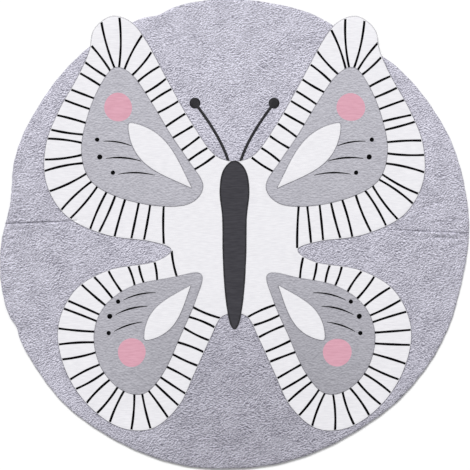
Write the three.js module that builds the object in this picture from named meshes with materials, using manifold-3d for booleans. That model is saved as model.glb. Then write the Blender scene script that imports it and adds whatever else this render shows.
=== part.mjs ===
// A round baby play mat, lying flat with its right side up.
// The mat is a thin padded disc of grey marl jersey, sewn right sides together and turned, so that
// its rim is soft and its outline slightly uneven. A white cotton butterfly is sewn on top. Its two
// upper wing tips reach past the rim. Grey wing fields, white wing cells and a charcoal body lie on it.
// Millimetres. +Z is up, +Y is the butterfly's head end, and the origin is on the floor at the middle.

import * as THREE from 'three';
import { mergeVertices } from 'three/addons/utils/BufferGeometryUtils.js';
import Module from 'manifold-3d';

const wasm = await Module();
wasm.setup();

// Padded disc
const MAT_RADIUS = 447;
const MIDDLE_THICKNESS = 10;
const SHOULDER_THICKNESS = 8;
const CROWN_REACH = 150;
const ROUNDED_WIDTH = 12;
const SEAM_HEIGHT = 3.6;
const UNDERSIDE_EDGE = { inset: 1, height: 1.4 };
const FLOOR_INSET = 4.5;

// Sewn-on cloth
const STITCHED_GAP = 0.3;
const PANEL_THICKNESS = 1.2;
const TRIM_THICKNESS = 1.0;
const TIP_DROOP = 4;
const SKIRT_REACH = 42;

// Where the round outline is fuller or flatter, clockwise from the head end, in degrees and mm.
const RIM_SHAPE = [
  { at: 32, out: -12, spread: 8 },
  { at: 68, out: 4, spread: 12 },
  { at: 86, out: 2, spread: 8 },
  { at: 103, out: -3, spread: 8 },
  { at: 150, out: -4, spread: 12 },
  { at: 196, out: 6, spread: 15 },
  { at: 226, out: 12.5, spread: 18 },
  { at: 247, out: -5, spread: 2.4 },
  { at: 253, out: 10.6, spread: 13 },
  { at: 278, out: -14, spread: 8.5 },
  { at: 322, out: 6, spread: 14 },
  { at: 341, out: -6, spread: 3 },
  { at: 352, out: 3.5, spread: 12 },
];

// Soft swells and hollows of the wadding near the rim: spread in degrees, inset and reach in mm.
const SWELLS = [
  { at: 12, inset: 60, rise: 0.7, spread: 9, reach: 45 },
  { at: 58, inset: 40, rise: -0.8, spread: 6, reach: 35 },
  { at: 81, inset: 45, rise: 0.9, spread: 5, reach: 50 },
  { at: 97, inset: 55, rise: 0.8, spread: 5, reach: 50 },
  { at: 138, inset: 50, rise: -0.7, spread: 9, reach: 40 },
  { at: 172, inset: 60, rise: 0.8, spread: 8, reach: 45 },
  { at: 214, inset: 45, rise: -0.6, spread: 7, reach: 40 },
  { at: 247, inset: 30, rise: -0.9, spread: 4, reach: 35 },
  { at: 266, inset: 50, rise: 0.9, spread: 5, reach: 50 },
  { at: 281, inset: 35, rise: 0.7, spread: 4, reach: 40 },
  { at: 348, inset: 50, rise: -0.6, spread: 7, reach: 45 },
];

// The straight crease where the mat was folded in half, seen on either side of the wings.
const FOLD_CREASES = [
  { at: 89.4, depth: 1.5, halfWidth: 5.5, reach: 190 },
  { at: 273.2, depth: 1.5, halfWidth: 5, reach: 190 },
];

// Half of the butterfly's cut outline: degrees clockwise from the head end, and mm from the middle.
const BUTTERFLY_HALF = [
  { at: 12, reach: 150 },
  { at: 21, reach: 226 },
  { at: 23.5, reach: 318 },
  { at: 24.5, reach: 402 },
  { at: 26, reach: 450 },
  { at: 29.5, reach: 478 },
  { at: 34.5, reach: 474 },
  { at: 38.5, reach: 446 },
  { at: 45, reach: 424 },
  { at: 55, reach: 410 },
  { at: 65, reach: 398 },
  { at: 75, reach: 372 },
  { at: 84, reach: 322 },
  { at: 90.5, reach: 244 },
  { at: 95, reach: 162 },
  { at: 104, reach: 124 },
  { at: 109, reach: 164 },
  { at: 106, reach: 250 },
  { at: 109.5, reach: 324 },
  { at: 118, reach: 382 },
  { at: 128.5, reach: 414 },
  { at: 139, reach: 430 },
  { at: 149, reach: 430 },
  { at: 157, reach: 404 },
  { at: 162, reach: 346 },
  { at: 164, reach: 276 },
  { at: 167, reach: 204 },
  { at: 172, reach: 158 },
];

// Right-hand wing fields: mm to the right of the middle and towards the head.
const UPPER_FIELD = [
  { right: 60, up: 92 },
  { right: 88, up: 140 },
  { right: 122, up: 190 },
  { right: 158, up: 250 },
  { right: 194, up: 302 },
  { right: 228, up: 318 },
  { right: 256, up: 284 },
  { right: 280, up: 226 },
  { right: 292, up: 160 },
  { right: 276, up: 104 },
  { right: 226, up: 72 },
  { right: 150, up: 54 },
  { right: 86, up: 58 },
];
const LOWER_FIELD = [
  { right: 64, up: -76 },
  { right: 124, up: -84 },
  { right: 196, up: -100 },
  { right: 248, up: -138 },
  { right: 268, up: -192 },
  { right: 256, up: -252 },
  { right: 218, up: -296 },
  { right: 172, up: -304 },
  { right: 134, up: -262 },
  { right: 104, up: -196 },
  { right: 74, up: -126 },
];

// Right-hand wing cells, pointed leaves from a root near the body. Lean is clockwise from the head
// end, and fullest is the share of the length at which a cell is widest.
const CELLS = {
  upper: { right: 80, up: 86, lean: 44, length: 176, lead: 26, trail: 32, fullest: 0.6 },
  lower: { right: 82, up: -96, lean: 140, length: 140, lead: 24, trail: 24, fullest: 0.6 },
};
const CELL_ROUNDNESS = 0.8;

// Half widths of the body from its tail to its head.
const BODY_SECTIONS = [
  { up: -182, half: 0 },
  { up: -164, half: 10 },
  { up: -110, half: 18 },
  { up: -40, half: 22 },
  { up: 30, half: 23 },
  { up: 82, half: 28 },
  { up: 122, half: 21 },
  { up: 140, half: 0 },
];

// Faceting of the disc, as shares of its radius inside the rounded rim and as insets within it.
const EVEN_SECTORS = 80;
const CREASE_FANS = [-1.3, -0.55, 0, 0.55, 1.3];
const FAN_CLEARANCE = 2;
const INNER_RINGS = [0.22, 0.42, 0.6, 0.74, 0.85, 0.93, 1];
const RIM_INSETS = [7.5, 4, 1.5, 0.3, 0];
const OUTLINE_STEPS = 4;
const CELL_STEPS = 7;
const SKIRT_SHARES = [0, 1 / 3, 2 / 3, 1];
const CUTTER_BELOW = 20;
const CUTTER_HEIGHT = 60;
const MERGE_DISTANCE = 1e-4;

const MARL = { color: 0xbebcc8, roughness: 0.95, metalness: 0 };
const WHITE_COTTON = { color: 0xeeedf2, roughness: 0.9, metalness: 0 };
const GREY_SLUB = { color: 0xb5b4bc, roughness: 0.92, metalness: 0 };
const CHARCOAL = { color: 0x444349, roughness: 0.85, metalness: 0 };

const bell = (distance, width) => Math.exp(-((distance / width) ** 2));

function turnBetween(degrees, other) {
  return ((((degrees - other + 180) % 360) + 360) % 360) - 180;
}

function rimRadius(degrees) {
  let radius = MAT_RADIUS;
  for (const row of RIM_SHAPE) {
    radius += row.out * bell(turnBetween(degrees, row.at), row.spread);
  }
  return radius;
}

// Height of the padded top, before the rim rounds it off.
function crownHeight(degrees, inset) {
  const rise = THREE.MathUtils.smoothstep(inset, 0, CROWN_REACH);
  let height = SHOULDER_THICKNESS + (MIDDLE_THICKNESS - SHOULDER_THICKNESS) * rise;
  for (const row of SWELLS) {
    const along = bell(turnBetween(degrees, row.at), row.spread);
    height += row.rise * along * bell(inset - row.inset, row.reach);
  }
  for (const row of FOLD_CREASES) {
    const turn = THREE.MathUtils.degToRad(turnBetween(degrees, row.at));
    const across = (rimRadius(degrees) - inset) * Math.sin(turn);
    const fade = 1 - THREE.MathUtils.smoothstep(inset, row.reach / 2, row.reach);
    if (Math.cos(turn) > 0) {
      height -= row.depth * fade * bell(across, row.halfWidth);
    }
  }
  return height;
}

function padTop(degrees, inset) {
  const full = crownHeight(degrees, inset);
  if (inset >= ROUNDED_WIDTH) {
    return full;
  }
  const outward = 1 - inset / ROUNDED_WIDTH;
  return SEAM_HEIGHT + (full - SEAM_HEIGHT) * Math.sqrt(1 - outward * outward);
}

// Underside of cloth that lies on the pad and reaches straight on past its rounded rim.
function clothRest(degrees, inset) {
  if (inset >= ROUNDED_WIDTH) {
    return crownHeight(degrees, inset);
  }
  const share = (ROUNDED_WIDTH - inset) / (ROUNDED_WIDTH + SKIRT_REACH);
  return crownHeight(degrees, ROUNDED_WIDTH) - TIP_DROOP * share * share;
}

// Sector directions: even, with a fan of extra ones along each fold crease.
function sectorDirections() {
  const fans = FOLD_CREASES.flatMap((row) => CREASE_FANS.map((turn) => row.at + turn));
  const directions = [...fans];
  for (let i = 0; i < EVEN_SECTORS; i += 1) {
    const degrees = (360 * i) / EVEN_SECTORS;
    if (fans.every((fan) => Math.abs(turnBetween(degrees, fan)) > FAN_CLEARANCE)) {
      directions.push(degrees);
    }
  }
  return directions.sort((a, b) => a - b);
}

const DIRECTIONS = sectorDirections();

// One ring of points round the disc. insetOf and heightOf take the direction, and then the inset.
function ring(insetOf, heightOf) {
  return DIRECTIONS.map((degrees) => {
    const inset = insetOf(degrees);
    const radius = rimRadius(degrees) - inset;
    const turn = THREE.MathUtils.degToRad(degrees);
    const height = heightOf(degrees, inset);
    return new THREE.Vector3(radius * Math.sin(turn), radius * Math.cos(turn), height);
  });
}

const innerInset = (share) => (degrees) => {
  const radius = rimRadius(degrees);
  return radius - share * (radius - ROUNDED_WIDTH);
};

// Closes a stack of rings, from the ring round the top's middle out and down to the one below it.
function closedStack(topMiddle, rings, bottomMiddle) {
  const count = DIRECTIONS.length;
  const points = [topMiddle, ...rings.flat(), bottomMiddle];
  const last = points.length - 1;
  const at = (row, column) => 1 + row * count + (column % count);
  const faces = [];
  for (let column = 0; column < count; column += 1) {
    faces.push(0, at(0, column + 1), at(0, column));
    for (let row = 0; row + 1 < rings.length; row += 1) {
      faces.push(at(row, column), at(row, column + 1), at(row + 1, column));
      faces.push(at(row, column + 1), at(row + 1, column + 1), at(row + 1, column));
    }
    faces.push(last, at(rings.length - 1, column), at(rings.length - 1, column + 1));
  }
  const geometry = new THREE.BufferGeometry().setFromPoints(points);
  geometry.setIndex(faces);
  return geometry;
}

function padGeometry() {
  const rings = INNER_RINGS.map((share) => ring(innerInset(share), padTop));
  for (const inset of RIM_INSETS) {
    rings.push(ring(() => inset, padTop));
  }
  rings.push(ring(() => UNDERSIDE_EDGE.inset, () => UNDERSIDE_EDGE.height));
  rings.push(ring(() => FLOOR_INSET, () => 0));
  const topMiddle = new THREE.Vector3(0, 0, padTop(0, MAT_RADIUS));
  return closedStack(topMiddle, rings, new THREE.Vector3(0, 0, 0));
}

// A disc of cloth of even thickness on the pad's own facets, lifted clear of what lies under it.
function clothDisc(lift, thickness) {
  const insets = INNER_RINGS.map(innerInset);
  for (const share of SKIRT_SHARES) {
    insets.push(() => -SKIRT_REACH * share);
  }
  const under = (degrees, inset) => clothRest(degrees, inset) + lift;
  const over = (degrees, inset) => under(degrees, inset) + thickness;
  const topRings = insets.map((insetOf) => ring(insetOf, over));
  const bottomRings = insets.map((insetOf) => ring(insetOf, under)).reverse();
  const topMiddle = new THREE.Vector3(0, 0, over(0, MAT_RADIUS));
  const bottomMiddle = new THREE.Vector3(0, 0, under(0, MAT_RADIUS));
  return closedStack(topMiddle, [...topRings, ...bottomRings], bottomMiddle);
}

function toSolid(geometry) {
  geometry.deleteAttribute('normal');
  geometry.deleteAttribute('uv');
  const merged = mergeVertices(geometry, MERGE_DISTANCE);
  const vertProperties = new Float32Array(merged.attributes.position.array);
  const triVerts = new Uint32Array(merged.index.array);
  return new wasm.Manifold(new wasm.Mesh({ numProp: 3, vertProperties, triVerts }));
}

function toGeometry(solid) {
  const mesh = solid.getMesh();
  const geometry = new THREE.BufferGeometry();
  geometry.setAttribute('position', new THREE.BufferAttribute(mesh.vertProperties, 3));
  geometry.setIndex(Array.from(mesh.triVerts));
  geometry.computeVertexNormals();
  return geometry;
}

// Cuts a closed outline out of a disc of cloth.
function cutCloth(outline, lift, thickness) {
  const shape = new THREE.Shape(outline);
  const cutter = new THREE.ExtrudeGeometry(shape, { depth: CUTTER_HEIGHT, bevelEnabled: false });
  cutter.translate(0, 0, -CUTTER_BELOW);
  const cut = toSolid(clothDisc(lift, thickness)).intersect(toSolid(cutter));
  return toGeometry(cut);
}

// A smooth closed curve through the given points.
function smoothOutline(points) {
  const corners = points.map((p) => new THREE.Vector3(p.x, p.y, 0));
  const curve = new THREE.CatmullRomCurve3(corners, true, 'catmullrom');
  const dense = curve.getPoints(points.length * OUTLINE_STEPS).slice(0, -1);
  return dense.map((p) => new THREE.Vector2(p.x, p.y));
}

function mirrored(points) {
  return points.map((p) => new THREE.Vector2(-p.x, p.y)).reverse();
}

function butterflyOutline() {
  const half = BUTTERFLY_HALF.map(({ at, reach }) => {
    const turn = THREE.MathUtils.degToRad(at);
    return new THREE.Vector2(reach * Math.sin(turn), reach * Math.cos(turn));
  });
  return smoothOutline([...half, ...mirrored(half)]);
}

function fieldOutline(rows) {
  return smoothOutline(rows.map(({ right, up }) => new THREE.Vector2(right, up)));
}

// A pointed leaf: its half width follows a sine that is warped to peak where the cell is fullest.
function cellOutline({ right, up, lean, length, lead, trail, fullest }) {
  const turn = THREE.MathUtils.degToRad(lean);
  const warp = Math.log(0.5) / Math.log(fullest);
  const point = (share, side) => {
    const offset = side * Math.sin(Math.PI * share ** warp) ** CELL_ROUNDNESS;
    const x = right + share * length * Math.sin(turn) - offset * Math.cos(turn);
    const y = up + share * length * Math.cos(turn) + offset * Math.sin(turn);
    return new THREE.Vector2(x, y);
  };
  const points = [];
  for (let step = 0; step <= CELL_STEPS; step += 1) {
    points.push(point(step / CELL_STEPS, lead));
  }
  for (let step = CELL_STEPS - 1; step > 0; step -= 1) {
    points.push(point(step / CELL_STEPS, -trail));
  }
  return points;
}

function bodyOutline() {
  const right = BODY_SECTIONS.map(({ up, half }) => new THREE.Vector2(half, up));
  const left = mirrored(right.slice(1, -1));
  return smoothOutline([...right, ...left]);
}

function cloth(name, geometry, finish) {
  const mesh = new THREE.Mesh(geometry, new THREE.MeshStandardMaterial(finish));
  mesh.name = name;
  return mesh;
}

const FIELD_LIFT = STITCHED_GAP * 2 + PANEL_THICKNESS;
const CELL_LIFT = FIELD_LIFT + STITCHED_GAP + TRIM_THICKNESS;

const mat = new THREE.Group();
mat.add(cloth('mat_pad', padGeometry(), MARL));

const panel = cutCloth(butterflyOutline(), STITCHED_GAP, PANEL_THICKNESS);
mat.add(cloth('butterfly_panel', panel, WHITE_COTTON));

const body = cutCloth(bodyOutline(), FIELD_LIFT, TRIM_THICKNESS);
mat.add(cloth('butterfly_body', body, CHARCOAL));

const wings = {
  upper: { field: fieldOutline(UPPER_FIELD), cell: cellOutline(CELLS.upper) },
  lower: { field: fieldOutline(LOWER_FIELD), cell: cellOutline(CELLS.lower) },
};
for (const [wing, { field, cell }] of Object.entries(wings)) {
  for (const side of ['right', 'left']) {
    const placed = (outline) => (side === 'right' ? outline : mirrored(outline));
    const fieldCloth = cutCloth(placed(field), FIELD_LIFT, TRIM_THICKNESS);
    const cellCloth = cutCloth(placed(cell), CELL_LIFT, TRIM_THICKNESS);
    mat.add(cloth(`${wing}_field_${side}`, fieldCloth, GREY_SLUB));
    mat.add(cloth(`${wing}_cell_${side}`, cellCloth, WHITE_COTTON));
  }
}

export default mat;
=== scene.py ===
"""A round padded baby play mat of grey marl jersey, lying flat, with a cotton butterfly sewn on.

Sizes in the tables are millimetres and degrees. Directions turn clockwise from the butterfly's head
end, which is +Y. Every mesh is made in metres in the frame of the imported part.
"""

import math

import bpy
import numpy as np
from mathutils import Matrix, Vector
from mathutils.geometry import delaunay_2d_cdt
from mathutils.kdtree import KDTree


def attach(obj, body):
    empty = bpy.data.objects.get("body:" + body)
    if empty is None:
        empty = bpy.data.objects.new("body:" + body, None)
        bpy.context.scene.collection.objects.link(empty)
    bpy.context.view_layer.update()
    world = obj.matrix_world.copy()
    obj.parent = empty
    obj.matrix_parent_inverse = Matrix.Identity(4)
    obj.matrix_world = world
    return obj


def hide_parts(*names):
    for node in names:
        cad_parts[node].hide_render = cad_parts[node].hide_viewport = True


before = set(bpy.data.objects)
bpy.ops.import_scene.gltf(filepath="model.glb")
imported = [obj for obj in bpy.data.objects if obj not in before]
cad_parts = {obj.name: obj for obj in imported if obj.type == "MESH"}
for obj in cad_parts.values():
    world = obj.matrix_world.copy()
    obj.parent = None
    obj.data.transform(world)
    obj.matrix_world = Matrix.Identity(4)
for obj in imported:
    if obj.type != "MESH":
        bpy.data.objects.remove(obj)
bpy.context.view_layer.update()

MM = 0.001

# Padded disc
MAT_RADIUS = 447.0
MIDDLE_THICKNESS = 10.0
SHOULDER_THICKNESS = 8.0
CROWN_REACH = 150.0
ROUNDED_WIDTH = 12.0
RIM_FULLNESS = 3.4
SEAM_HEIGHT = 3.6
FLOOR_INSET = 4.5
TIP_DROOP = 4.0
SKIRT_REACH = 42.0

# Levels of the sewn-on cloth: its underside above the pad, and its thickness. It lies LEVEL_GAP
# above the cloth below.
PANEL_LEVEL, TRIM_LEVEL, CELL_LEVEL = (0.1, 0.9), (1.1, 0.8), (2.0, 0.7)
LEVEL_GAP = 0.1

# Where the round outline is fuller or flatter: direction, mm outwards, spread in degrees.
RIM_SHAPE = [
    (32, -12, 8), (68, 4, 12), (86, 2, 8), (103, -3, 8), (150, -4, 12), (196, 6, 15),
    (226, 12.5, 18), (247, -5, 2.4), (253, 10.6, 13), (278, -14, 8.5), (322, 6, 14), (341, -6, 3),
    (352, 3.5, 12),
]

# Soft swells and hollows of the wadding: direction, inset, rise, spread in degrees, reach in mm.
SWELLS = [
    (12, 60, 0.7, 9, 45), (58, 40, -0.8, 6, 35), (81, 45, 0.9, 5, 50), (97, 55, 0.8, 5, 50),
    (138, 50, -0.7, 9, 40), (172, 60, 0.8, 8, 45), (214, 45, -0.6, 7, 40), (247, 30, -0.9, 4, 35),
    (266, 50, 0.9, 5, 50), (281, 35, 0.7, 4, 40), (348, 50, -0.6, 7, 45),
]

# Slow waves in the wadding under the whole mat: height, length, direction and start.
WADDING_WAVES = [
    (0.10, 71, 20, 0.3), (0.09, 97, 105, 1.9), (0.08, 58, 64, 4.0), (0.06, 43, 150, 2.4)
]
WAVES_FADE = 40.0

# The straight crease of the mat folded in half: side, how far up it meets the rim, its rise towards
# the middle, reach inwards, then depth and half width of the trough and of the sharp line in it.
FOLD_CREASES = [
    (1, 1.5, 0.045, 190, 0.6, 5.5, 2.8, 1.75),
    (-1, 19.3, 0.041, 190, 0.5, 5.0, 2.9, 1.7),
]
# A crease is steeper on its upper side, where the cloth hangs over it a little.
UPPER_SIDE = 0.55
# How far creases and wrinkles wander to their sides, and over what length.
CREASE_WANDER, WRINKLE_WANDER = (0.2, 11.0), (0.8, 7.0)

# Short wrinkles in the margin: middle (right, up), lean, length, half width, rise.
WRINKLES = [
    (396, 1.6, 92, 62, 4.5, 3.2), (396, -7.2, 92, 58, 5.2, -2.4), (-399, 12, 92, 44, 4.0, -0.9),
    (394, 23, 91, 26, 2.6, -3.0), (420, 28, 92, 28, 2.6, -2.8), (363, 51, 82, 30, 3.0, -2.6),
    (443, 42, 88, 14, 2.6, -2.0), (386, 60, 78, 20, 4.4, -3.0), (422, -21, 78, 24, 3.6, -2.2),
    (-418, 80, 95, 20, 2.8, -2.4), (-399, 69, 125, 22, 2.8, -2.0), (-429, 6, 68, 18, 3.6, -2.4),
    (-382, 4, 85, 26, 4.5, -0.8), (-424, -38, 72, 22, 4.0, -2.2), (-407, -180, 75, 30, 4.5, -2.0),
    (-383, -215, 40, 40, 7.0, -1.0), (250, 352, 140, 38, 6.0, -0.6), (-330, 292, 35, 44, 7.0, -0.6),
    (60, -415, 95, 60, 8.0, -0.7), (300, -310, 48, 50, 7.0, 0.6), (-180, -392, 112, 46, 7.0, 0.5),
    (10, 415, 84, 70, 9.0, 0.5),
]

# Butterfly's cut outline, right half: direction and mm from the middle.
BUTTERFLY_HALF = [
    (12, 150), (21, 226), (23.5, 318), (24.5, 402), (26, 450), (29.5, 478), (34.5, 474),
    (38.5, 446), (45, 424), (55, 410), (65, 398), (75, 372), (84, 322), (90.5, 244), (95, 162),
    (104, 124), (109, 164), (106, 250), (109.5, 324), (118, 382), (128.5, 414), (139, 430),
    (149, 430), (157, 404), (162, 346), (164, 276), (167, 204), (172, 158),
]

# Right-hand wing fields: mm to the right of the middle and towards the head.
FIELDS = {
    "upper": [
        (60, 92), (88, 140), (122, 190), (158, 250), (194, 302), (228, 318), (256, 284), (280, 226),
        (292, 160), (276, 104), (226, 72), (150, 54), (86, 58),
    ],
    "lower": [
        (64, -76), (124, -84), (196, -100), (248, -138), (268, -192), (256, -252), (218, -296),
        (172, -304), (134, -262), (104, -196), (74, -126),
    ],
}

# Right-hand wing cells: root (right, up), lean, length, leading and trailing width, fullest share.
CELLS = {"upper": (80, 86, 44, 176, 26, 32, 0.6), "lower": (82, -96, 140, 140, 24, 24, 0.6)}
CELL_ROUNDNESS = 0.8

# Body, from its tail to its head: up, half width.
BODY_SECTIONS = [
    (-182, 0), (-164, 10), (-110, 18), (-40, 22), (30, 23), (82, 28), (122, 21), (140, 0)
]

# Print on the right-hand wings. Spots: right, up, radius. Veins: from, to, bow to the left, width.
PINK_SPOTS = {"upper": [(222, 242, 27)], "lower": [(196, -226, 27)]}
BLACK_SPOTS = {
    "upper": [(262, 180, 4.2), (257, 147, 5.0), (232, 117, 4.2)],
    "lower": [(222, -129, 4.2), (238, -157, 5.0), (240, -189, 4.2)],
}
VEINS = {
    "upper": [
        ((196, 168), (250, 177), 3, 3.0), ((178, 139), (246, 144), 4, 3.2),
        ((152, 112), (222, 114), 4, 3.0),
    ],
    "lower": [
        ((150, -112), (212, -126), 4, 3.0), ((166, -138), (227, -154), 4, 3.2),
        ((176, -168), (230, -186), 3, 3.0),
    ],
}
VEIN_TAPER = 0.35

# Printed border lines, from a little inside the field to a little inside the cut edge.
LINE_PITCH = 25.0
LINE_WIDTH = 4.4
LINE_START, LINE_END = -3.0, 1.3
SHORTEST_LINE, LONGEST_LINE = 26.0, 128.0
# No line ends this near to the middle of the butterfly.
BARE_MIDDLE = 22.0

# Feelers: start as a share of their way, its foot (right, up), spread, bend and rise.
FEELER = (0.13, (8, 120), 74, 1.5, 138)
FEELER_HALF_WIDTH, KNOB_RADIUS = 2.7, 10.5
# Insets of their stitch from both ends, and how it narrows at the foot.
SATIN_INSETS, FOOT_SHARE, FOOT_TAPER = (0.6, 0.15), 0.2, 2.0


# Light: white room light from all round, and a broad soft window beyond the head end, a little to
# the left. Together they light a flat white sheet to LIGHT_LEVEL.
LIGHT_LEVEL = 1.15
ROOM_LIGHT = 0.5
WINDOW_ELEVATION, WINDOW_TURN, WINDOW_WIDTH = 52.0, 12.0, 22.0


def seen(*levels, light=LIGHT_LEVEL):
    """The finish that looks like this 8-bit colour when it lies flat in light of this level."""
    def linear(level):
        share = level / 255
        return share / 12.92 if share <= 0.04045 else ((share + 0.055) / 1.055) ** 2.4
    return (*(linear(level) / light for level in levels), 1.0)


# Shape of the pad

def bell(distance, width):
    return np.exp(-((distance / width) ** 2))


def lopsided(across, half_width):
    return bell(across, np.where(across > 0, UPPER_SIDE, 1) * half_width)


def wander(along, sway, start=0.0):
    size, length = sway
    return size * np.sin(along / length + start)


def smoothstep(value, low, high):
    share = np.clip((value - low) / (high - low), 0, 1)
    return share * share * (3 - 2 * share)


def turn_between(degrees, other):
    return (degrees - other + 180) % 360 - 180


def rim_radius(degrees):
    radius = np.full_like(degrees, MAT_RADIUS)
    for at, out, spread in RIM_SHAPE:
        radius += out * bell(turn_between(degrees, at), spread)
    return radius


def place(degrees, radius):
    turn = np.radians(degrees)
    return radius * np.sin(turn), radius * np.cos(turn)


def direction_and_inset(right, up):
    degrees = np.degrees(np.arctan2(right, up)) % 360
    return degrees, rim_radius(degrees) - np.hypot(right, up)


def along_and_across(right, up, lean):
    sine, cosine = math.sin(math.radians(lean)), math.cos(math.radians(lean))
    return right * sine + up * cosine, up * sine - right * cosine


def gentle_waves(right, up):
    height = np.zeros_like(right)
    for size, length, lean, start in WADDING_WAVES:
        along, _ = along_and_across(right, up, lean)
        height += size * np.sin(2 * math.pi * along / length + start)
    return height


def crown(right, up):
    """Height of the padded top before the rim rounds it off."""
    degrees, inset = direction_and_inset(right, up)
    fullness = smoothstep(inset, 0, CROWN_REACH)
    height = SHOULDER_THICKNESS + (MIDDLE_THICKNESS - SHOULDER_THICKNESS) * fullness
    for at, swell_inset, lift, spread, reach in SWELLS:
        height += lift * bell(turn_between(degrees, at), spread) * bell(inset - swell_inset, reach)
    for side, rim_up, rise, reach, depth, half_width, line_depth, line_half_width in FOLD_CREASES:
        across = up - rim_up - rise * (MAT_RADIUS - np.abs(right)) + wander(right, CREASE_WANDER)
        trough = depth * lopsided(across, half_width)
        line = line_depth * lopsided(across, line_half_width)
        fade = (1 - smoothstep(inset, reach / 2, reach)) * (right * side > 0)
        height -= fade * (trough + line)
    for middle_right, middle_up, lean, length, half_width, lift in WRINKLES:
        along, across = along_and_across(right - middle_right, up - middle_up, lean)
        across = across + wander(along, WRINKLE_WANDER, middle_right)
        height += lift * lopsided(across, half_width) * bell(along, length / 2)
    return height + gentle_waves(right, up) * smoothstep(inset, 0, WAVES_FADE)


def pad_top(right, up):
    _, inset = direction_and_inset(right, up)
    outward = np.clip(1 - inset / ROUNDED_WIDTH, 0, 1)
    return SEAM_HEIGHT + (crown(right, up) - SEAM_HEIGHT) * np.sqrt(1 - outward**RIM_FULLNESS)


def cloth_rest(right, up):
    """Where cloth on the pad rests: it goes straight on past the rounded rim, drooping a little."""
    degrees, inset = direction_and_inset(right, up)
    shoulder = crown(*place(degrees, rim_radius(degrees) - ROUNDED_WIDTH))
    share = np.clip((ROUNDED_WIDTH - inset) / (ROUNDED_WIDTH + SKIRT_REACH), 0, None)
    return np.where(inset >= ROUNDED_WIDTH, crown(right, up), shoulder - TIP_DROOP * share**2)


# Outlines

def unit(ways):
    return ways / np.hypot(*ways.T)[:, None]


def to_left(ways):
    return np.column_stack([-ways[:, 1], ways[:, 0]])


def smooth_closed(points, steps=24):
    """A closed curve through the points, in equal steps between each two."""
    start = np.asarray(points, float)
    before, end, after = np.roll(start, 1, 0), np.roll(start, -1, 0), np.roll(start, -2, 0)
    t = (np.arange(steps) / steps)[None, :, None]
    before, start, end, after = (p[:, None, :] for p in (before, start, end, after))
    curve = 0.5 * (
        2 * start + (end - before) * t + (2 * before - 5 * start + 4 * end - after) * t**2
        + (3 * start - before - 3 * end + after) * t**3
    )
    return curve.reshape(-1, 2)


def lengths_along(path):
    return np.concatenate([[0], np.cumsum(np.hypot(*np.diff(path, axis=0).T))])


def on_path(path, distances):
    reach = lengths_along(path)
    return np.column_stack([np.interp(distances, reach, path[:, axis]) for axis in (0, 1)])


def closed(loop):
    return np.vstack([loop, loop[:1]])


def on_loop(loop, distances):
    """Points of a closed loop at these distances from its start."""
    path = closed(loop)
    return on_path(path, distances % lengths_along(path)[-1])


def signed_area(loop):
    ahead = np.roll(loop, -1, 0)
    return 0.5 * float(np.sum(loop[:, 0] * ahead[:, 1] - ahead[:, 0] * loop[:, 1]))


def even_loop(loop, spacing, soften):
    """The loop turned anticlockwise, in even steps, its corners rounded over about soften mm."""
    if signed_area(loop) < 0:
        loop = loop[::-1]
    total = lengths_along(closed(loop))[-1]
    count = int(round(total / spacing))
    even = on_loop(loop, np.arange(count) * total / count)
    span = int(math.ceil(3 * soften / spacing))
    weights = bell(np.arange(-span, span + 1) * spacing, soften * math.sqrt(2))
    weights /= weights.sum()
    return sum(w * np.roll(even, -k, 0) for k, w in zip(range(-span, span + 1), weights))


def inward(loop):
    """Unit normals of an anticlockwise loop, pointing in."""
    return to_left(unit(np.roll(loop, -2, 0) - np.roll(loop, 2, 0)))


def room_inside(loop, normals):
    """Radius of the largest circle inside the loop that touches it at each of its points."""
    gone = loop - loop[:, None]
    depth = (gone * normals[:, None]).sum(2)
    reach = (gone**2).sum(2)
    return np.min(reach / np.maximum(2 * depth, 1e-6), axis=1, initial=1e6, where=depth > 1e-6)


def smooth_both_sides(right, back):
    """A closed curve through a right half's points and those of back, mirrored."""
    return smooth_closed(np.vstack([right, (back * [-1, 1])[::-1]]))


def butterfly_outline():
    half = np.column_stack(place(*np.array(BUTTERFLY_HALF, float).T))
    return smooth_both_sides(half, half)


def body_outline():
    half = np.array([(half_width, up) for up, half_width in BODY_SECTIONS], float)
    return smooth_both_sides(half, half[1:-1])


def field_outline(wing, sign):
    return smooth_closed(FIELDS[wing], 16) * [sign, 1]


def cell_outline(right, up, lean, length, lead, trail, fullest):
    """A pointed leaf, its half width a sine that is warped to peak where the cell is fullest."""
    turn = math.radians(lean)
    share = np.linspace(0, 1, 41)
    width = np.sin(math.pi * share ** (math.log(0.5) / math.log(fullest))).clip(0) ** CELL_ROUNDNESS

    def edge(side):
        x = right + share * length * math.sin(turn) - side * width * math.cos(turn)
        y = up + share * length * math.cos(turn) + side * width * math.sin(turn)
        return np.column_stack([x, y])

    return np.vstack([edge(lead), edge(-trail)[-2:0:-1]])


def inside(points, loop):
    """Which points lie in the closed loop, tested in 20 lots to spare memory."""
    ahead = np.roll(loop, -1, 0)
    run, rise = (ahead - loop).T
    rise = np.where(rise == 0, 1e-9, rise)

    def test(lot):
        x, y = lot[:, :1], lot[:, 1:]
        crosses = (loop[:, 1] > y) != (ahead[:, 1] > y)
        meets = loop[:, 0] + (y - loop[:, 1]) / rise * run
        return (crosses & (x < meets)).sum(1) % 2 == 1

    return np.concatenate([test(lot) for lot in np.array_split(points, 20)])


# Meshes

def into_scene(name, data):
    item = bpy.data.objects.new(name, data)
    bpy.context.scene.collection.objects.link(item)
    return item


def new_piece(name, points_mm, faces, material, smooth=True):
    mesh = bpy.data.meshes.new(name)
    mesh.from_pydata((np.asarray(points_mm) * MM).tolist(), [], [list(map(int, f)) for f in faces])
    mesh.validate()
    mesh.polygons.foreach_set("use_smooth", [smooth] * len(mesh.polygons))
    mesh.materials.append(material)
    mesh.update()
    piece = into_scene(name, mesh)
    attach(piece, "root")
    return piece


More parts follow.
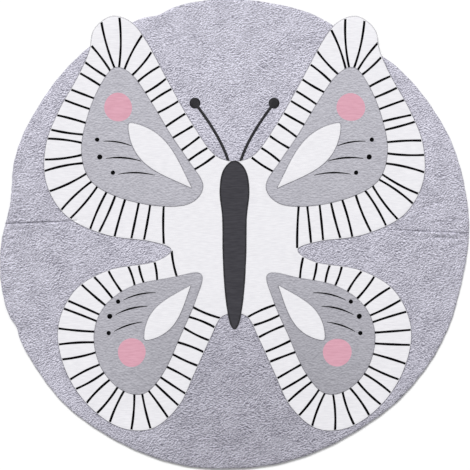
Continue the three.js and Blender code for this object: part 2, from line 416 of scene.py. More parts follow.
def open_ways(faces):
    """Edges that only one of the triangles has, each the way that triangle runs along it."""
    ways = {(int(a), int(b)) for f in faces for a, b in zip(f, np.roll(f, -1))}
    return sorted((a, b) for a, b in ways if (b, a) not in ways)


def nearest(points, others):
    """Which of the others each point is nearest to, and how far off it is."""
    tree = KDTree(len(others))
    for i, (x, y) in enumerate(others):
        tree.insert((x, y, 0), i)
    tree.balance()
    found = [tree.find((x, y, 0)) for x, y in points]
    return np.array([f[1] for f in found], int), np.array([f[2] for f in found], float)


def only_used(points, faces):
    """The points that the faces use, and the faces renumbered to them."""
    used = np.unique(np.concatenate([np.ravel(f) for f in faces]))
    renumber = np.full(len(points), -1)
    renumber[used] = np.arange(len(used))
    return points[used], [renumber[f] for f in faces]


# The share of their spacing that inner points keep clear of every loop.
GRID_CLEARANCE = 0.6


def fill_loop(boundary, loops, spacing):
    """Triangles over the inside of a boundary loop, their edges along every inner loop too: points,
    triangles, and which of the points are the boundary's own."""
    low, high = boundary.min(0), boundary.max(0)
    rows = np.arange(low[1], high[1], spacing * math.sqrt(3) / 2)
    grid_x, grid_y = np.meshgrid(np.arange(low[0], high[0], spacing), rows)
    grid_x = grid_x + (np.arange(len(rows)) % 2)[:, None] * spacing / 2
    grid = np.column_stack([grid_x.ravel(), grid_y.ravel()])
    grid = grid[inside(grid, boundary)]
    fixed = np.vstack([boundary, *loops])
    _, distance = nearest(grid, fixed)
    points = np.vstack([fixed, grid[distance > GRID_CLEARANCE * spacing]])
    edges, first = [], 0
    for loop in (boundary, *loops):
        count = len(loop)
        edges += [(first + i, first + (i + 1) % count) for i in range(count)]
        first += count
    cut = delaunay_2d_cdt([Vector(p) for p in points], edges, [], 0, 1e-5, True)
    verts, faces, sources = np.array([tuple(v) for v in cut[0]]), np.array(cut[2]), cut[3]
    boundary_ids = np.full(len(boundary), -1)
    for i, came_from in enumerate(sources):
        for source in came_from:
            if source < len(boundary):
                boundary_ids[source] = i
    return verts, faces[inside(verts[faces].mean(1), boundary)], boundary_ids


OUTLINE_SPACING, CLOTH_SPACING, UNDERSIDE_SPACING = 2.4, 6.0, 18.0
CORNER_SOFTENING = 2.6
# Rows of the mesh inside a cut edge. In a pointed tip they keep to a share of the room there.
EDGE_ROWS, EDGE_SHARE = (0.0, 0.12, 0.35, 0.7, 1.1), 0.8
HEM_ROWS, HEM_SHARE = (1.8, 2.8, 4.6), 0.9
# The cloth rounds over its edge, thins where the thread grips it, and is fuller over its hem.
EDGE_ROUNDING = 0.9
GRIP, GRIP_INSET, GRIP_REACH = 0.22, 1.7, 0.8
HEM, HEM_INSET, HEM_REACH = 0.20, 5.0, 3.0
PUCKER, PUCKER_PITCH, PUCKER_INSET, PUCKER_REACH = 0.11, 10.7, 3.0, 3.4


def edge_swell(distance):
    """How much of its thickness the cloth has at this distance from its turned-in edge."""
    rounded = np.sqrt(1 - (1 - np.clip(distance / EDGE_ROUNDING, 0, 1)) ** 2)
    grip = GRIP * bell(distance - GRIP_INSET, GRIP_REACH)
    return rounded * (1 - grip + HEM * bell(distance - HEM_INSET, HEM_REACH))


def puckers(distance, along):
    """Small pulls of the stitching, square to the edge and uneven along it."""
    phase = 2 * math.pi * along / PUCKER_PITCH
    phase = phase + wander(along, (1.9, 23.0)) + wander(along, (0.8, 9.1))
    near_edge = bell(distance - PUCKER_INSET, PUCKER_REACH)
    return PUCKER * np.sin(phase) * near_edge * smoothstep(distance, 0.2, 1.6)


def cut_cloth(name, outline, level, material, prints=()):
    """A closed sheet cut to the outline, its prints and its rim. prints are (material, loops): each
    becomes a thin piece of print that lies exactly on the sheet's own faces."""
    lift, thickness = level
    rim = even_loop(outline, OUTLINE_SPACING, CORNER_SOFTENING)
    count = len(rim)
    normals = inward(rim)
    room = room_inside(rim, normals)
    insets = np.outer(EDGE_ROWS, np.minimum(1, EDGE_SHARE * room / EDGE_ROWS[-1]))
    rows = [rim + normals * inset[:, None] for inset in insets]
    hem = [rim + normals * np.minimum(d, HEM_SHARE * room)[:, None] for d in HEM_ROWS]
    loops = [loop for _, group in prints for loop in group]
    inner, inner_faces, inner_rim = fill_loop(rows[-1], hem + loops, CLOTH_SPACING)
    plan = np.vstack([*rows[:-1], inner])
    outer_count = len(plan) - len(inner)

    rim_lengths = lengths_along(closed(rim))[:-1]
    rim_point, rim_distance = nearest(inner, rim)
    distance = np.concatenate([insets[:-1].ravel(), rim_distance])
    along = np.concatenate([np.tile(rim_lengths, len(rows) - 1), rim_lengths[rim_point]])
    rest = cloth_rest(plan[:, 0], plan[:, 1]) + lift
    top = rest + thickness * edge_swell(distance) + puckers(distance, along)

    faces = []
    ids = np.arange(outer_count).reshape(-1, count)
    for outer, nearer in zip(ids, ids[1:]):
        faces += np.column_stack([outer, np.roll(outer, -1), np.roll(nearer, -1), nearer]).tolist()
    onward = dict(open_ways(inner_faces))
    last = ids[-1]
    for here, ahead, start, end in zip(last, np.roll(last, -1), inner_rim, np.roll(inner_rim, -1)):
        faces.append([here, ahead, outer_count + end])
        while start != end:
            faces.append([here, outer_count + onward[start], outer_count + start])
            start = onward[start]
    faces += (inner_faces + outer_count).tolist()

    under, under_faces, under_rim = fill_loop(rim, (), UNDERSIDE_SPACING)
    under_ids = len(plan) + np.arange(len(under))
    under_ids[under_rim] = np.arange(count)
    under_rest = cloth_rest(under[:, 0], under[:, 1]) + lift
    points = np.vstack([np.column_stack([plan, top]), np.column_stack([under, under_rest])])
    faces += under_ids[under_faces][:, ::-1].tolist()
    sheet = new_piece(name, *only_used(points, faces), material)

    printed = []
    middles = inner[inner_faces].mean(1)
    for ink, group in prints:
        marked = np.zeros(len(inner_faces), bool)
        for loop in group:
            around = (middles >= loop.min(0)) & (middles <= loop.max(0))
            near = np.flatnonzero(around.all(1))
            marked[near[inside(middles[near], loop)]] = True
        layer = f"{name}_{ink.name}"
        printed.append(print_layer(layer, points[outer_count:], inner_faces[marked], ink))
    return sheet, printed, rim


PRINT_HEIGHT, PRINT_SUNK = 0.06, 0.15


def print_layer(name, points, faces, material):
    """Closed skin of print over some of a sheet's faces, a hair above them, sunk in all round."""
    points, faces = only_used(points, faces)
    top_faces, count = np.array(faces), len(points)
    walls = [(b, a, a + count, b + count) for a, b in open_ways(top_faces)]
    all_faces = top_faces.tolist() + (top_faces[:, ::-1] + count).tolist() + walls
    both = np.vstack([points + [0, 0, PRINT_HEIGHT], points - [0, 0, PRINT_SUNK]])
    return new_piece(name, both, all_faces, material, smooth=False)


# A stitch is this much thinner and lower at both ends, where it goes down through the cloth.
THREAD_END = 0.7


def threads(name, ridges, sideways, half_width, height, material):
    """Closed threads with a low three-cornered section, one along each row of ridge points.
    Sideways points to the right of the way they run."""
    runs, steps = ridges.shape[:2]
    thickness = np.where(np.isin(np.arange(steps), (0, steps - 1)), THREAD_END, 1.0)[:, None]
    level = np.concatenate([sideways, np.zeros_like(sideways[..., :1])], 2)
    beside = level * thickness * half_width
    above = thickness * [0, 0, height]
    points = np.stack([ridges - beside, ridges + above, ridges + beside], 2).reshape(-1, 3)
    ids = np.arange(len(points)).reshape(runs, steps, 3)
    here, ahead = ids[:, :-1], ids[:, 1:]
    sides = [
        np.stack([here[..., a], here[..., b], ahead[..., b], ahead[..., a]], 2)
        for a, b in ((0, 1), (1, 2), (2, 0))
    ]
    faces = np.concatenate(sides).reshape(-1, 4).tolist()
    return new_piece(name, points, faces + ids[:, 0, ::-1].tolist() + ids[:, -1].tolist(), material)


# Where a zigzag stitch starts, crosses the edge and ends, as shares of its step along the rim.
STITCH_SHARES = (0.07, 0.5, 0.93)
# It crosses this far inside the edge, at this share of the cloth's thickness.
CROSSING_INSET, CROSSING_SHARE = 0.35, 0.94
ZIGZAG_HEIGHT = 0.26
# Zigzags: step along the edge, inset of their outer and inner holes, half width of the thread.
EDGE_ZIGZAG, BODY_ZIGZAG = (2.2, -1.1, 1.0, 0.26), (0.9, -0.8, 2.4, 0.34)
TANGENT_REACH = 1.5


def zigzag(name, rim, level, material, form=EDGE_ZIGZAG):
    """Zigzag over a sewn-on edge, each stitch a thread from the lower cloth to the upper."""
    lift, thickness = level
    pitch, outer, inner, half_width = form
    total = lengths_along(closed(rim))[-1]
    count = 2 * int(round(total / pitch))
    turn = np.arange(count)
    at = turn * total / count
    uneven = 1 + wander(at, (0.09, 7.3)) + wander(at, (0.06, 2.9))
    holes = np.where(turn % 2, inner, outer) * uneven
    stops = np.column_stack([holes, np.full(count, CROSSING_INSET), np.roll(holes, -1)])
    places = at[:, None] + total / count * np.array(STITCH_SHARES)
    # Every second stitch is turned round, so that it runs from the lower cloth too.
    stops[1::2], places[1::2] = stops[1::2, ::-1], places[1::2, ::-1]
    reaches = (0, -TANGENT_REACH, TANGENT_REACH)
    base, before, after = (on_loop(rim, places.ravel() + reach) for reach in reaches)
    ahead = unit(after - before)
    spots = base + to_left(ahead) * stops.reshape(-1, 1)
    height = np.empty_like(stops)
    height[:, 0] = lift - LEVEL_GAP
    height[:, 1] = lift + thickness * CROSSING_SHARE
    height[:, 2] = lift + thickness * edge_swell(stops[:, 2])
    ridges = np.column_stack([spots, cloth_rest(*spots.T) + height.ravel()])
    shape = (count, len(STITCH_SHARES), -1)
    return threads(
        name, ridges.reshape(shape), ahead.reshape(shape), half_width, ZIGZAG_HEIGHT, material
    )


# Finishes

def feed(tree, socket, value):
    if isinstance(value, bpy.types.NodeSocket):
        tree.links.new(value, socket)
    else:
        socket.default_value = value


def add(tree, kind, inputs, **settings):
    node = tree.nodes.new(kind)
    for key, value in settings.items():
        setattr(node, key, value)
    for key, value in inputs.items():
        feed(tree, node.inputs[key], value)
    return node


def calc(tree, operation, *values, **settings):
    inputs = dict(enumerate(values))
    return add(tree, "ShaderNodeMath", inputs, operation=operation, **settings).outputs[0]


def centred(tree, share):
    return calc(tree, "SUBTRACT", share, 0.5)


def times(tree, first, second, *plus):
    return calc(tree, "MULTIPLY_ADD" if plus else "MULTIPLY", first, second, *plus)


def noise(tree, vector, scale, detail=1.0):
    inputs = {"Vector": vector, "Scale": scale, "Detail": detail}
    return add(tree, "ShaderNodeTexNoise", inputs).outputs[0]


def spread(tree, *levels):
    """A value between a low and a high one, spread from 0 to 1 or between two other levels."""
    return add(tree, "ShaderNodeMapRange", dict(enumerate(levels))).outputs[0]


def parts_of(tree, vector):
    return add(tree, "ShaderNodeSeparateXYZ", {0: vector}).outputs


def vector_of(tree, *parts):
    return add(tree, "ShaderNodeCombineXYZ", dict(enumerate(parts))).outputs[0]


def in_mm(tree, vector):
    return [times(tree, part, 1 / MM) for part in parts_of(tree, vector)]


def mix(tree, kind, share, first, second):
    """The mix of two colours, RGBA, or of two values, FLOAT."""
    node = add(tree, "ShaderNodeMix", {}, data_type=kind)
    enabled = [socket for socket in node.inputs if socket.enabled]
    for socket, value in zip(enabled, (share, first, second)):
        feed(tree, socket, value)
    return next(socket for socket in node.outputs if socket.enabled)


def new_group(build, result, **sizes):
    """A node group with the result that build makes of its inputs: a place on the object, and
    sizes, here with their defaults."""
    tree = bpy.data.node_groups.new(build.__name__, "ShaderNodeTree")
    tree.interface.new_socket("Vector", in_out="INPUT", socket_type="NodeSocketVector")
    for label, value in sizes.items():
        socket = tree.interface.new_socket(label, in_out="INPUT", socket_type="NodeSocketFloat")
        socket.default_value = value
    tree.interface.new_socket(result, in_out="OUTPUT", socket_type="NodeSocketFloat")
    given = tree.nodes.new("NodeGroupInput").outputs
    out = tree.nodes.new("NodeGroupOutput").inputs[result]
    tree.links.new(build(tree, *(given[label] for label in ("Vector", *sizes))), out)
    return tree


def use_group(tree, group, spot, **sizes):
    return add(tree, "ShaderNodeGroup", {"Vector": spot, **sizes}, node_tree=group).outputs[0]


# The marl jersey's loops: height of a row, width of a wale, and climb of a row over half a wale.
KNIT = {"row": 1.1, "wale": 1.5, "zig": 1.6}


def knit_place(tree, spot, row, wale, zig):
    """The wale and the row of loops at a place, with their fractions, and how far to the side of
    its wale it is, up to a half. Rows climb towards the sides by zig."""
    right, up, _ = in_mm(tree, spot)
    at_wale = calc(tree, "DIVIDE", right, wale)
    side = calc(tree, "ABSOLUTE", centred(tree, calc(tree, "FRACT", at_wale)))
    level_row = calc(tree, "DIVIDE", up, row)
    return at_wale, times(tree, side, zig, level_row), side


def yarn_streaks(tree, spot, lean, length, width, sway, step, parted, reach, row, wale, zig):
    """Short streaks of lighter and darker yarn that lean and sway over the mat and keep to its rows
    of loops or threads. Sizes in mm, lean in radians, zig 0 for a weave. From each streak a share,
    parted, of the one that lies a step below it is taken away."""
    swayed = times(tree, centred(tree, noise(tree, spot, 21.0)), sway)
    right, _, deep = in_mm(tree, spot)
    _, at_row, _ = knit_place(tree, spot, row, wale, zig)
    row_up = times(tree, calc(tree, "FLOOR", at_row), row)
    on_row = {"Vector": vector_of(tree, right, row_up, deep), "Angle": lean}
    turned = add(tree, "ShaderNodeVectorRotate", on_row, rotation_type="Z_AXIS").outputs[0]
    leaning = parts_of(tree, turned)
    along = calc(tree, "DIVIDE", leaning[0], length)
    across = calc(tree, "ADD", leaning[1], swayed)
    down = calc(tree, "DIVIDE", deep, width)

    def tone(mm):
        widths = calc(tree, "DIVIDE", mm, width)
        return noise(tree, vector_of(tree, along, widths, down), 1.0, 0.6)

    taken = times(tree, tone(calc(tree, "SUBTRACT", across, step)), parted)
    streak = calc(tree, "SUBTRACT", tone(across), taken)
    middle = times(tree, parted, -0.5, 0.5)
    low = calc(tree, "SUBTRACT", middle, reach)
    return spread(tree, streak, low, calc(tree, "ADD", middle, reach))


def jersey_knit(tree, spot):
    """Height of plain jersey: leaning loops in upright wales."""
    _, row, side = knit_place(tree, spot, **KNIT)
    loop = calc(tree, "ABSOLUTE", calc(tree, "SINE", times(tree, row, math.pi)))
    return times(tree, loop, calc(tree, "SINE", times(tree, side, 2 * math.pi)))


def loop_tones(tree, spot):
    """A tone of its own for every loop of the knit, as marl yarn has."""
    wale, row, _ = knit_place(tree, spot, **KNIT)
    loop = {"Vector": vector_of(tree, calc(tree, "FLOOR", wale), calc(tree, "FLOOR", row))}
    own = add(tree, "ShaderNodeTexWhiteNoise", loop, noise_dimensions="3D")
    return own.outputs["Value"]


def plain_weave(tree, spot, pitch, slub):
    """Height of a plain weave, over and under by turns. The pitch is in mm."""
    shift = times(tree, centred(tree, noise(tree, spot, 260.0)), slub)

    def wave(mm):
        yarns = calc(tree, "ADD", calc(tree, "DIVIDE", mm, pitch), shift)
        return calc(tree, "SINE", times(tree, yarns, math.pi))

    right, up, _ = in_mm(tree, spot)
    return times(tree, times(tree, wave(right), wave(up)), 0.5, 0.5)


# Painted shade, as where less light falls: the tone is darker round two places, here in metres:
# middle and reach. The second is on both sides of the mat, and its strength goes over from the left
# to the right.
TAIL_SHADE_PATCH, SIDE_SHADE_PATCH = ((0.07, -0.42, 0.0), 0.38), ((0.43, 0.0, 0.0), 0.17)
LEFT_TO_RIGHT, SIDE_SHADE_STRENGTHS = (-0.3, 0.3), (0.35, 0.2)


def painted_falloff_shade(tree, spot):
    """How much painted shade falls here: most at the tail end, and a little on either side."""
    waver = times(tree, noise(tree, spot, 6.0, 2.0), 0.3, 0.85)
    right, up, _ = parts_of(tree, spot)

    def patch(right, middle, reach):
        inputs = {0: vector_of(tree, right, up), 1: middle}
        away = add(tree, "ShaderNodeVectorMath", inputs, operation="DISTANCE").outputs["Value"]
        share = calc(tree, "DIVIDE", times(tree, away, waver), reach)
        return calc(tree, "EXPONENT", times(tree, times(tree, share, share), -1.0))

    side = patch(calc(tree, "ABSOLUTE", right), *SIDE_SHADE_PATCH)
    strength = spread(tree, right, *LEFT_TO_RIGHT, *SIDE_SHADE_STRENGTHS)
    tail = patch(right, *TAIL_SHADE_PATCH)
    return calc(tree, "MULTIPLY_ADD", side, strength, tail, use_clamp=True)


YARN_STREAKS = new_group(
    yarn_streaks, "Streak", lean=0.0, length=12.0, width=2.2, sway=8.0, step=2.4, parted=0.4,
    reach=0.2, row=0.6, wale=1.5, zig=0.0,
)
JERSEY_KNIT = new_group(jersey_knit, "Height")
LOOP_TONES = new_group(loop_tones, "Tone")
PLAIN_WEAVE = new_group(plain_weave, "Height", pitch=0.6, slub=0.15)
PAINTED_FALLOFF_SHADE = new_group(painted_falloff_shade, "Share")


def new_finish(name, roughness, specular, sheen=0.0):
    """A material with a Principled shader, its node tree and where it is on the object."""
    material = bpy.data.materials.new(name)
    material.use_nodes = True
    tree = material.node_tree
    shader = next(n for n in tree.nodes if n.type == "BSDF_PRINCIPLED")
    shader.inputs["Roughness"].default_value = roughness
    shader.inputs["Specular IOR Level"].default_value = specular
    shader.inputs["Sheen Weight"].default_value = sheen
    return material, tree, shader, tree.nodes.new("ShaderNodeTexCoord").outputs["Object"]


def cover(tree, shader, colour, height, distance, strength):
    """Gives the shader its colour, and relief over a distance in metres."""
    tree.links.new(colour, shader.inputs["Base Color"])
    inputs = {"Height": height, "Distance": distance, "Strength": strength}
    bump = add(tree, "ShaderNodeBump", inputs)
    tree.links.new(bump.outputs[0], shader.inputs["Normal"])


def cloudy(tree, spot, tone, scale, amount):
    """A tone that also drifts a little from place to place."""
    clouds = centred(tree, noise(tree, spot, scale))
    return times(tree, clouds, 2 * amount, tone)


def shade(tree, colour, share):
    inputs = {0: colour, "Scale": share}
    return add(tree, "ShaderNodeVectorMath", inputs, operation="SCALE").outputs[0]


def painted_shade_between_yarns(tree, colour, height, depth):
    """The colour with painted shade, darker by depth where the cloth dips between its yarns."""
    return shade(tree, colour, times(tree, height, depth, 1 - depth))


def with_painted_falloff(tree, spot, tone, yarns):
    """This tone between a dark and a light yarn. The lit pair and the pair in painted shade are
    mixed by how much painted shade falls here.
    """
    high, low = (mix(tree, "RGBA", tone, dark, light) for dark, light in yarns)
    return mix(tree, "RGBA", use_group(tree, PAINTED_FALLOFF_SHADE, spot), high, low)


def streaks(tree, spot, lean=0, **sizes):
    return use_group(tree, YARN_STREAKS, spot, lean=math.radians(lean), **sizes)


# Dark and light yarn of the marl and of the slub, lit and in painted shade.
MARL_YARNS_LIT_AND_SHADED = (seen(122, 120, 135), seen(270, 268, 284)), (seen(86, 84, 98), seen(234, 232, 246))
SLUB_YARNS_LIT_AND_SHADED = (seen(170, 169, 178), seen(218, 217, 226)), (seen(141, 140, 148), seen(184, 183, 191))
LONG_SHARE, LOOP_SHARE = 0.16, 0.44
# Painted shade: the marl is darker low down, on the rounded rim and in deep creases, by this share
# below the first of these two heights in metres and not at all above the second.
PAINTED_LOW_SHADE, PAINTED_LOW_SHADE_HEIGHTS = 0.8, (0.0042, 0.0076)
# How much darker the woven cloths are in the painted shade towards the tail end and sides.
WOVEN_PAINTED_FALLOFF = 0.045


def make_marl_jersey():
    """Short streaks that lean one way or the other by patches, with a few long ones between."""
    material, tree, shader, spot = new_finish("marl_jersey", 0.95, 0.12, 0.15)
    short = {"width": 1.3, "step": 1.7, "parted": 0.7, "reach": 0.16, **KNIT}
    one = streaks(tree, spot, -2, length=3.8, sway=9.0, **short)
    other = streaks(tree, spot, -20, length=3.6, sway=8.0, **short)
    long = streaks(tree, spot, -12, length=12.0, width=2.0, sway=9.0, step=2.3, parted=0.7, **KNIT)
    patch = spread(tree, noise(tree, spot, 24.0), 0.44, 0.56)
    flecks = mix(tree, "FLOAT", LONG_SHARE, mix(tree, "FLOAT", patch, one, other), long)
    loops = centred(tree, use_group(tree, LOOP_TONES, spot))
    tone = cloudy(tree, spot, times(tree, loops, LOOP_SHARE, flecks), 32.0, 0.16)
    # Painted shade on the low rounded rim and in deep creases.
    painted_low_shade_share = spread(tree, parts_of(tree, spot)[2], *PAINTED_LOW_SHADE_HEIGHTS, PAINTED_LOW_SHADE, 1.0)
    # Painted shade towards the tail end and sides.
    marl = shade(tree, with_painted_falloff(tree, spot, tone, MARL_YARNS_LIT_AND_SHADED), painted_low_shade_share)
    knit = use_group(tree, JERSEY_KNIT, spot)
    relief = times(tree, flecks, 0.35, knit)
    # Painted shade in the dips between the knit's loops.
    cover(tree, shader, painted_shade_between_yarns(tree, marl, knit, 0.1), relief, 0.0003, 0.9)
    return material


def make_grey_slub():
    material, tree, shader, spot = new_finish("grey_slub", 0.93, 0.12, 0.1)
    slubs = streaks(tree, spot, length=10.0, width=2.0, sway=5.0, row=0.7)
    fine = streaks(tree, spot, length=4.0, width=1.8, sway=5.0, step=2.2, row=0.7)
    tone = cloudy(tree, spot, mix(tree, "FLOAT", 0.6, slubs, fine), 40.0, 0.11)
    weave = use_group(tree, PLAIN_WEAVE, spot, pitch=0.7, slub=0.3)
    # Painted shade towards the tail end and sides.
    grey = with_painted_falloff(tree, spot, tone, SLUB_YARNS_LIT_AND_SHADED)
    relief = times(tree, slubs, 0.5, weave)
    # Painted shade in the dips between the weave's yarns.
    cover(tree, shader, painted_shade_between_yarns(tree, grey, weave, 0.12), relief, 0.00016, 0.8)
    return material


def make_woven(name, light, dark, roughness, pitch, depth, dip=0.06, specular=0.15, sheen=0.05):
    """Plain-woven cotton of one colour, with a faint thread-by-thread unevenness. Between its yarns
    it has painted shade, darker by dip, and it is lower there by depth in metres."""
    material, tree, shader, spot = new_finish(name, roughness, specular, sheen)
    yarns = streaks(tree, spot, length=14.0, width=1.4, sway=1.0, parted=0.0, row=pitch)
    # Painted shade: darker towards the tail end and at the sides.
    painted_falloff = use_group(tree, PAINTED_FALLOFF_SHADE, spot)
    falloff_shade_factor = times(tree, painted_falloff, -WOVEN_PAINTED_FALLOFF, 1.0)
    weave = use_group(tree, PLAIN_WEAVE, spot, pitch=pitch, slub=0.2)
    colour = shade(tree, mix(tree, "RGBA", yarns, dark, light), falloff_shade_factor)
    relief = times(tree, yarns, 0.4, weave)
    cover(tree, shader, painted_shade_between_yarns(tree, colour, weave, dip), relief, depth, 0.8)
    return material


def make_thread(name, light, dark):
    material, tree, shader, spot = new_finish(name, 0.55, 0.4)
    wound = noise(tree, spot, 900.0, 2.0)
    cover(tree, shader, mix(tree, "RGBA", wound, dark, light), wound, 0.0001, 0.7)
    return material


marl_jersey = make_marl_jersey()
grey_slub = make_grey_slub()
white_cotton = make_woven(
    "white_cotton", seen(249, 248, 252), seen(238, 237, 242), 0.9, 0.6, 0.0001
)
charcoal_cotton = make_woven(
    "charcoal_cotton", seen(74, 73, 79), seen(62, 61, 67), 0.85, 0.7, 0.00014, dip=0.16
)
black_print = make_woven(
    "black_print", seen(12, 12, 14), seen(4, 4, 5), 0.75, 0.6, 0.00008, specular=0.03, sheen=0.0
)
pink_print = make_woven("pink_print", seen(231, 175, 192), seen(220, 163, 180), 0.85, 0.7, 0.0001)
grey_thread = make_thread("grey_thread", seen(142, 140, 150), seen(104, 102, 112))
charcoal_thread = make_thread("charcoal_thread", seen(56, 55, 60), seen(28, 28, 32))


# The pad

PAD_SECTORS = 800
CROWDED_AT, SECTOR_CROWDING = 91.6, 24.0
RING_SPACING = 4.6
RIM_TOP_INSETS = (10.4, 8.8, 7.2, 5.7, 4.3, 3.1, 2.1, 1.3, 0.7, 0.3)
# Below the seam: inset and height, to the flat underside.
RIM_UNDER = [
    (1.0, 3.55), (0.45, 3.0), (0.4, 2.3), (0.9, 1.3), (1.9, 0.5), (3.1, 0.12), (FLOOR_INSET, 0.0)
]


def make_pad():
    """The disc, its sectors crowded towards the two fold creases and its seam pulled unevenly."""
    even = np.arange(PAD_SECTORS) * 360 / PAD_SECTORS
    degrees = even - SECTOR_CROWDING * np.sin(np.radians(2 * (even - CROWDED_AT)))
    radius = rim_radius(degrees)
    pull = 0.28 * np.sin(even * 1.7 + 2.2 * np.sin(even / 11)) + 0.2 * np.sin(even * 0.61 + 1.1)

    def ring(reach, height):
        return np.column_stack([*place(degrees, reach), height])

    ring_count = int(round((MAT_RADIUS - ROUNDED_WIDTH) / RING_SPACING))
    rings = []
    for number in range(1, ring_count + 1):
        reach = (radius - ROUNDED_WIDTH) * number / ring_count
        rings.append(ring(reach, pad_top(*place(degrees, reach))))
    for inset in RIM_TOP_INSETS:
        reach = radius - inset
        pulled = reach + (1 - inset / ROUNDED_WIDTH) * pull
        rings.append(ring(pulled, pad_top(*place(degrees, reach))))
    for inset, height in RIM_UNDER:
        pulled = radius - inset + pull * height / SEAM_HEIGHT
        rings.append(ring(pulled, np.full_like(radius, height)))

    middle = pad_top(np.zeros(1), np.zeros(1))[0]
    points = np.vstack([[0.0, 0.0, middle], *rings, [0.0, 0.0, 0.0]])
    ids = 1 + np.arange(len(rings) * PAD_SECTORS).reshape(-1, PAD_SECTORS)
    ahead = np.roll(ids, -1, 1)
    top, bottom = np.zeros(PAD_SECTORS, int), np.full(PAD_SECTORS, len(points) - 1)
    faces = np.column_stack([top, ahead[0], ids[0]]).tolist()
    for row in range(len(rings) - 1):
        faces += np.column_stack([ids[row], ahead[row], ahead[row + 1], ids[row + 1]]).tolist()
    faces += np.column_stack([ids[-1], ahead[-1], bottom]).tolist()
    pad = new_piece("padded_disc", points, faces, marl_jersey)
    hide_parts("mat_pad")
    return pad


# Printed lines

def line_loop(start, end, bow, width, taper=1.0):
    """A hand-drawn line as a closed loop: bowed to its left, its width a little uneven."""
    along = end - start
    length = math.hypot(*along)
    left = np.array([-along[1], along[0]]) / length
    share = np.linspace(0, 1, max(5, int(length / 4)))
    middle = start + share[:, None] * along + (4 * share * (1 - share))[:, None] * left * bow
    beat = 1 + 0.05 * np.sin(9 * share + start[0] / 17) + 0.04 * np.sin(4 * share + start[1] / 11)
    narrow = taper + (1 - taper) * np.sin(math.pi * share)
    half = (width / 2 * beat * narrow)[:, None]
    return np.vstack([middle - left * half, (middle + left * half)[::-1]])


def disc_loop(right, up, radius):
    """A hand-drawn spot, a little out of round."""
    turn = np.linspace(0, 2 * math.pi, max(16, int(radius * 1.6)), endpoint=False)
    reach = radius * (1 + 0.02 * np.sin(2 * turn + right) + 0.012 * np.sin(3 * turn + up))
    return np.column_stack([right + reach * np.cos(turn), up + reach * np.sin(turn)])


def first_hit(point, way, loop):
    """How far it is from the point along way to the loop."""
    edge = np.roll(loop, -1, 0) - loop
    gone = loop - point
    across = way[0] * edge[:, 1] - way[1] * edge[:, 0]
    across[np.abs(across) < 1e-9] = 1e-9
    reach = (gone[:, 0] * edge[:, 1] - gone[:, 1] * edge[:, 0]) / across
    share = (gone[:, 0] * way[1] - gone[:, 1] * way[0]) / across
    hits = reach[(reach > 1e-6) & (share >= 0) & (share <= 1)]
    return hits.min() if len(hits) else 1e9


def wing_lines(field, outline, turn):
    """Lines from a field out to the butterfly's edge, about a pitch apart half way along. The turn
    they start with gives each wing's lines a start and an unevenness of their own."""
    edge = even_loop(field, 1.0, 8.0)
    outward = -inward(edge)
    side = np.sign(field[:, 0].mean())
    count = len(edge)
    lines, middles = [], []
    for i in (int(turn * 11) + np.arange(count)) % count:
        way = outward[np.arange(i - 14, i + 15) % count].mean(0)
        way /= math.hypot(*way)
        reach = first_hit(edge[i], way, outline)
        middle = edge[i] + way * min(reach, LONGEST_LINE) / 2
        pitch = LINE_PITCH * (1 + 0.17 * math.sin(2.4 * turn) + 0.10 * math.sin(5.3 * turn + 1))
        near = lines and math.hypot(*(middle - middles[-1])) < pitch
        at_middle = side * (edge[i] + way * reach)[0] < BARE_MIDDLE
        if near or at_middle or not SHORTEST_LINE < reach < LONGEST_LINE:
            continue
        if lines and math.hypot(*(middle - middles[0])) < 0.7 * LINE_PITCH:
            break
        lean = 0.05 * math.sin(3.7 * turn)
        end = edge[i] + way * (reach - LINE_END) + np.array([-way[1], way[0]]) * lean * reach
        start = edge[i] + way * LINE_START
        bow = reach * 0.035 * math.sin(2.9 * turn + 0.6)
        lines.append(line_loop(start, end, bow, LINE_WIDTH))
        middles.append(middle)
        turn += 1
    return lines


# The sewn-on butterfly

def declare(node):
    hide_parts(node)


def make_panel():
    outline = butterfly_outline()
    edge = even_loop(outline, OUTLINE_SPACING, CORNER_SOFTENING)
    lines = []
    turn = 1.0
    for wing in ("upper", "lower"):
        for sign in (1, -1):
            lines += wing_lines(field_outline(wing, sign), edge, turn)
            turn += 2.3
    sheet, [printed], rim = cut_cloth(
        "white_butterfly", outline, PANEL_LEVEL, white_cotton, [(black_print, lines)]
    )
    stitches = zigzag("butterfly_edge_stitches", rim, PANEL_LEVEL, grey_thread)
    declare("butterfly_panel")
    return sheet


def make_wing(wing, side):
    sign = 1 if side == "right" else -1
    flip = np.array([sign, 1])
    pink = [disc_loop(sign * x, y, r) for x, y, r in PINK_SPOTS[wing]]
    black = [disc_loop(sign * x, y, r) for x, y, r in BLACK_SPOTS[wing]]
    for start, end, bow, width in VEINS[wing]:
        black.append(line_loop(start * flip, end * flip, sign * bow, width, VEIN_TAPER))
    sheet, printed, rim = cut_cloth(
        f"{wing}_field_cloth_{side}", field_outline(wing, sign), TRIM_LEVEL, grey_slub,
        [(pink_print, pink), (black_print, black)],
    )
    stitches = zigzag(f"{wing}_field_stitches_{side}", rim, TRIM_LEVEL, grey_thread)
    declare(f"{wing}_field_{side}")

    cell = cell_outline(*CELLS[wing]) * flip
    leaf, _, leaf_rim = cut_cloth(f"{wing}_cell_cloth_{side}", cell, CELL_LEVEL, white_cotton)
    leaf_stitches = zigzag(f"{wing}_cell_stitches_{side}", leaf_rim, CELL_LEVEL, grey_thread)
    declare(f"{wing}_cell_{side}")


def make_body():
    sheet, _, rim = cut_cloth("body_cloth", body_outline(), TRIM_LEVEL, charcoal_cotton)
    stitches = zigzag("body_edge_stitches", rim, TRIM_LEVEL, charcoal_thread, BODY_ZIGZAG)
    declare("butterfly_body")


# Satin stitch: step between threads, points across each, lift of its ends and rise of its middle.
SATIN_STEP = 0.42
SATIN_ACROSS = np.array([-1, -0.6, 0, 0.6, 1])
SATIN_LIFT, SATIN_RISE = 0.05, 0.75
SATIN_HALF_WIDTH, SATIN_HEIGHT = 0.27, 0.22


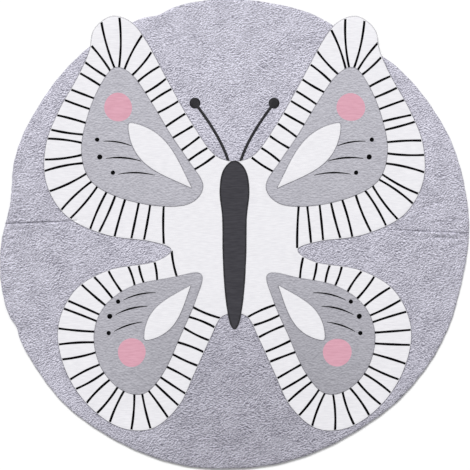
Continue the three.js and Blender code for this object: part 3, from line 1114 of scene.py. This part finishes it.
def make_feeler(side):
    """Satin stitch: threads side by side across the feeler's width, which widens into its knob."""
    sign = 1 if side == "right" else -1
    start, (foot_right, foot_up), spread, bend, rise = FEELER
    share = np.linspace(start, 1, 300)
    right = sign * (foot_right + spread * share**bend)
    path = np.column_stack([right, foot_up + rise * share])
    total = lengths_along(path)[-1]
    along = np.arange(SATIN_INSETS[0], total - SATIN_INSETS[1], SATIN_STEP)
    ahead = unit(on_path(path, along + 1) - on_path(path, along - 1))
    knob_middle = total - KNOB_RADIUS
    knob = np.sqrt(np.clip(KNOB_RADIUS**2 - (along - knob_middle) ** 2, 0, None))
    foot = np.clip(along / FOOT_TAPER, FOOT_SHARE, 1)
    half = np.maximum(FEELER_HALF_WIDTH * foot * (along < knob_middle), knob)
    reach_left = (half[:, None] * SATIN_ACROSS)[..., None]
    plan = on_path(path, along)[:, None] + to_left(ahead)[:, None] * reach_left
    dome = SATIN_LIFT + SATIN_RISE * np.sqrt(1 - SATIN_ACROSS**2)
    height = cloth_rest(plan[..., 0], plan[..., 1]) + dome
    ridges = np.concatenate([plan, height[..., None]], 2)
    sideways = np.repeat(ahead[:, None], len(SATIN_ACROSS), 1)
    name = f"feeler_satin_stitch_{side}"
    feeler = threads(name, ridges, sideways, SATIN_HALF_WIDTH, SATIN_HEIGHT, charcoal_thread)


# Camera, light and floor

MM_PER_PIXEL = 900 / 470
# How far the middle of the picture is to the right of the mat's and above it, in picture pixels.
CAMERA_SHIFT_PX = (0.5, -1.0)
# In metres, but for the sensor.
CAMERA_HEIGHT, VIEW_WIDTH, SENSOR_WIDTH = 3.2, 0.900, 36.0
FLOOR_HALF, FLOOR_HEIGHT = 30.0, -0.0006


def set_camera():
    camera = into_scene("overhead_camera", bpy.data.cameras.new("overhead_camera"))
    camera.data.sensor_width = SENSOR_WIDTH
    camera.data.lens = SENSOR_WIDTH * CAMERA_HEIGHT / VIEW_WIDTH
    right, up = (px * MM_PER_PIXEL * MM for px in CAMERA_SHIFT_PX)
    camera.location = (right, up, CAMERA_HEIGHT)
    bpy.context.scene.camera = camera


def set_light():
    world = bpy.data.worlds.new("white_room")
    world.use_nodes = True
    sky = next(n for n in world.node_tree.nodes if n.type == "BACKGROUND")
    sky.inputs["Color"].default_value = (1.0, 1.0, 1.0, 1.0)
    sky.inputs["Strength"].default_value = ROOM_LIGHT
    bpy.context.scene.world = world
    window = bpy.data.lights.new("window", "SUN")
    window.energy = (LIGHT_LEVEL - ROOM_LIGHT) * math.pi / math.sin(math.radians(WINDOW_ELEVATION))
    window.angle = math.radians(WINDOW_WIDTH)
    lamp = into_scene("window", window)
    lamp.rotation_euler = (math.radians(WINDOW_ELEVATION - 90), 0, math.radians(WINDOW_TURN))
    bpy.context.scene.view_settings.view_transform = "Standard"


def make_floor():
    floor, tree, shader, spot = new_finish("pale_floor_finish", 0.8, 0.1)
    dark, light = (seen(level, level, level, light=1.0) for level in (242, 247))
    mottle = mix(tree, "RGBA", noise(tree, spot, 3.0, 2.0), dark, light)
    tree.links.new(mottle, shader.inputs["Base Color"])
    mesh = bpy.data.meshes.new("pale_floor")
    signs = ((-1, -1), (1, -1), (1, 1), (-1, 1))
    corners = [(x * FLOOR_HALF, y * FLOOR_HALF, FLOOR_HEIGHT) for x, y in signs]
    mesh.from_pydata(corners, [], [(0, 1, 2, 3)])
    mesh.materials.append(floor)
    piece = into_scene("pale_floor", mesh)


# Camera, light and floor come first, then the pieces from the floor up.
set_camera()
set_light()
make_floor()
pad = make_pad()
panel = make_panel()
for wing in ("upper", "lower"):
    for side in ("right", "left"):
        make_wing(wing, side)
make_body()
for side in ("right", "left"):
    make_feeler(side)
